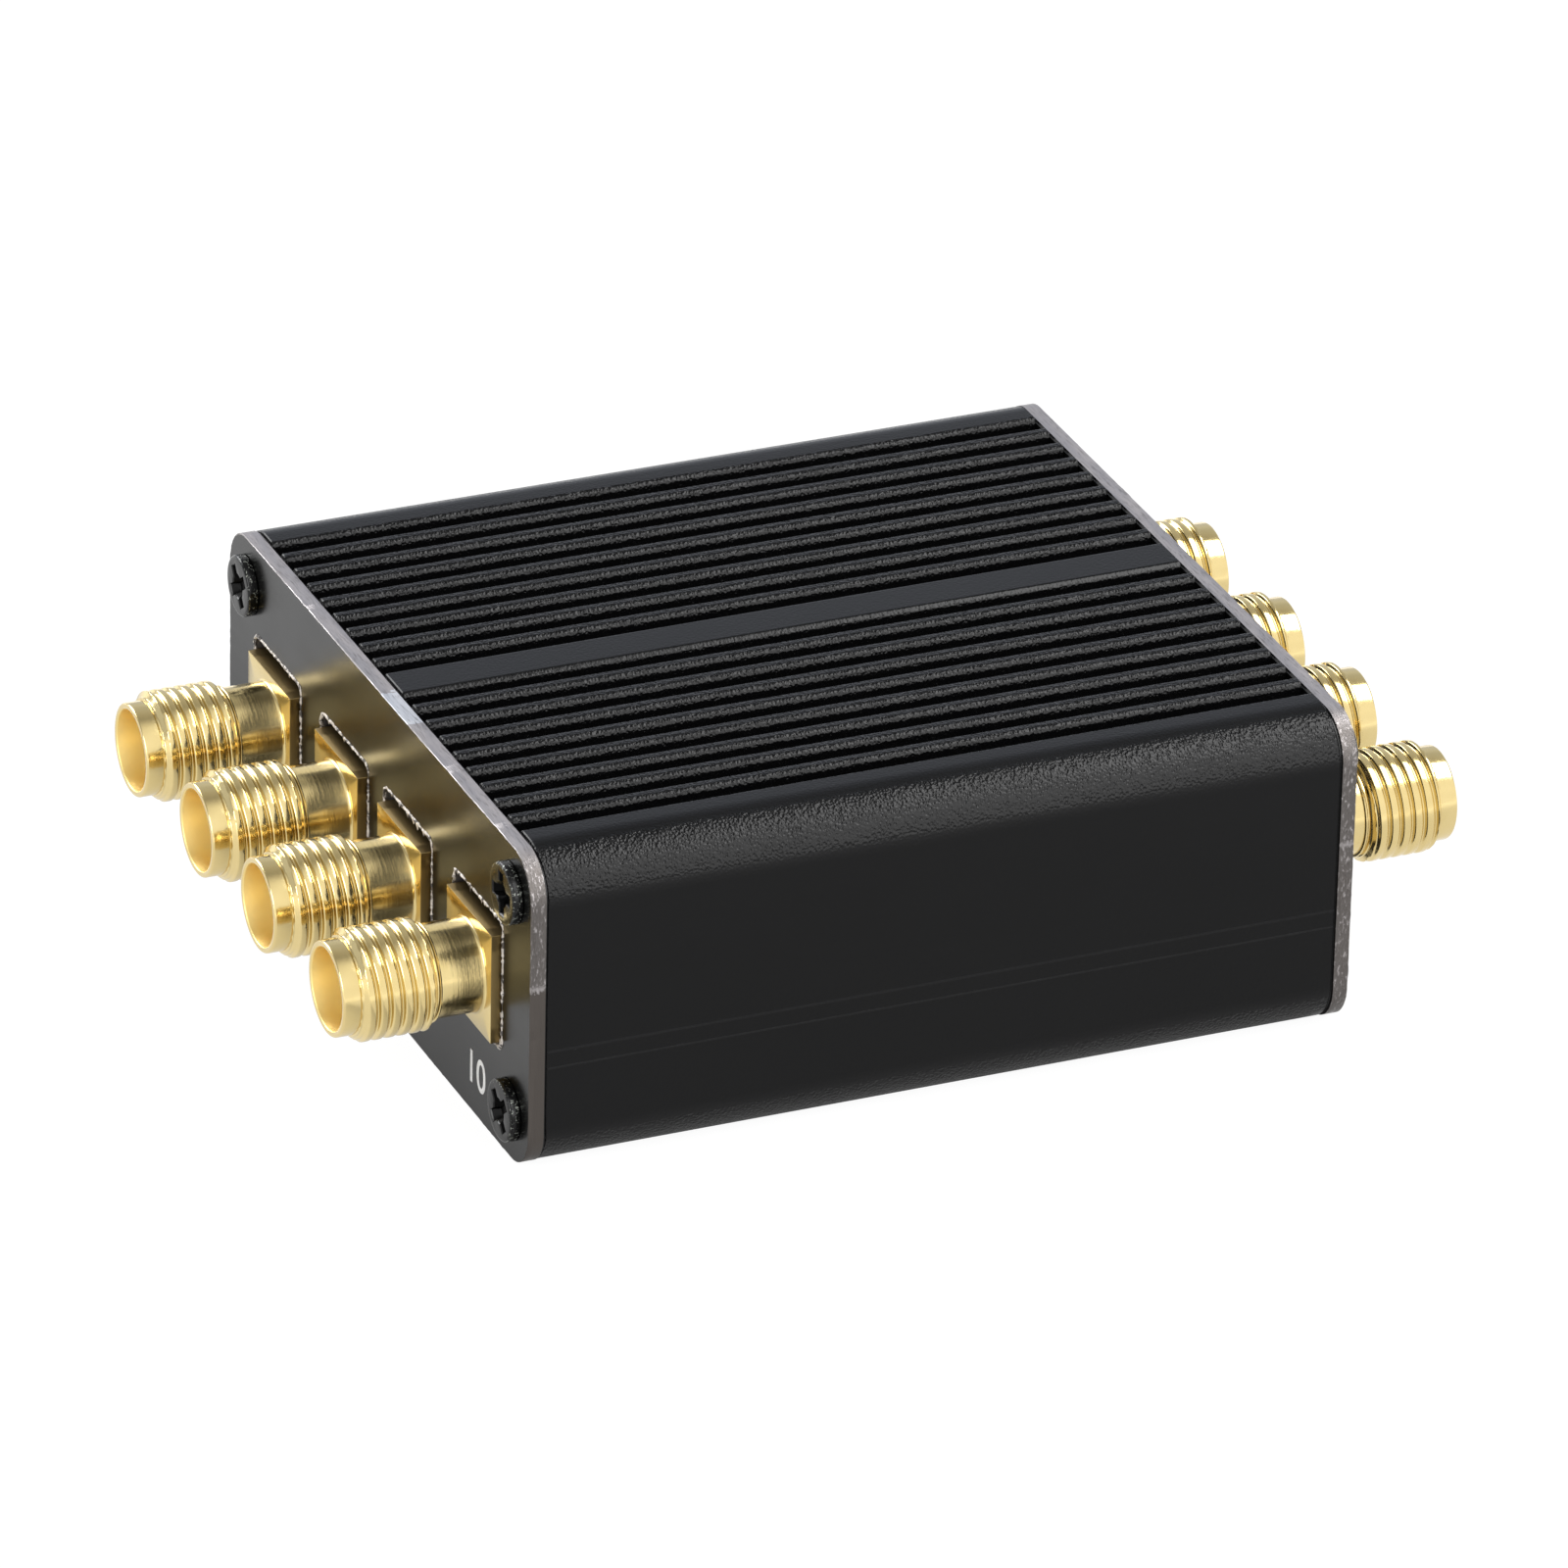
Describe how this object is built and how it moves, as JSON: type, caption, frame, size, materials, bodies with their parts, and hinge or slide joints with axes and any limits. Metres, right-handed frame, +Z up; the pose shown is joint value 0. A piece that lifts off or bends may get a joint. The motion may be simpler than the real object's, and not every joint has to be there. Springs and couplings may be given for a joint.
{
  "type": "rf bandpass filter",
  "caption": "Small finned aluminium case that holds a multi-channel RF bandpass filter, with gold threaded coaxial jacks in a row on each end panel.",
  "frame": {"origin": "middle of the case's flat underside, which is also the middle of the whole part's footprint", "axes": "+X along the case and its fins, from the front panel with jacks 1 to 4 to the rear panel with jacks 5 to 8; +Y across the case; +Z up to the fins"},
  "size_m": [0.0656, 0.045, 0.019],
  "materials": {
    "black_anodised": "black anodised, fine grain",
    "grey_anodised": "dark grey satin, bare at the edges",
    "black_steel": "black oxide, rubbed on the rims",
    "gold_plate": "gold plated over turned brass",
    "white_ptfe": "smooth white",
    "green_laminate": "solder mask over laminate",
    "dark_ceramic": "matt, with tinned ends",
    "tan_ceramic": "matt, with tinned ends"
  },
  "bodies": {
    "root": {"case": "black_anodised", "front_panel": "grey_anodised", "rear_panel": "grey_anodised", "panel_screws": "black_steel", "jack_1_shell": "gold_plate", "jack_2_shell": "gold_plate", "jack_3_shell": "gold_plate", "jack_4_shell": "gold_plate", "jack_5_shell": "gold_plate", "jack_6_shell": "gold_plate", "jack_7_shell": "gold_plate", "jack_8_shell": "gold_plate", "jack_1_insulator": "white_ptfe", "jack_2_insulator": "white_ptfe", "jack_3_insulator": "white_ptfe", "jack_4_insulator": "white_ptfe", "jack_5_insulator": "white_ptfe", "jack_6_insulator": "white_ptfe", "jack_7_insulator": "white_ptfe", "jack_8_insulator": "white_ptfe", "jack_1_contact": "gold_plate", "jack_2_contact": "gold_plate", "jack_3_contact": "gold_plate", "jack_4_contact": "gold_plate", "jack_5_contact": "gold_plate", "jack_6_contact": "gold_plate", "jack_7_contact": "gold_plate", "jack_8_contact": "gold_plate", "circuit_board": "green_laminate", "channel_1_inductors": "dark_ceramic", "channel_2_inductors": "dark_ceramic", "channel_3_inductors": "dark_ceramic", "channel_4_inductors": "dark_ceramic", "channel_1_capacitors": "tan_ceramic", "channel_2_capacitors": "tan_ceramic", "channel_3_capacitors": "tan_ceramic", "channel_4_capacitors": "tan_ceramic"}
  },
  "joints": []
}
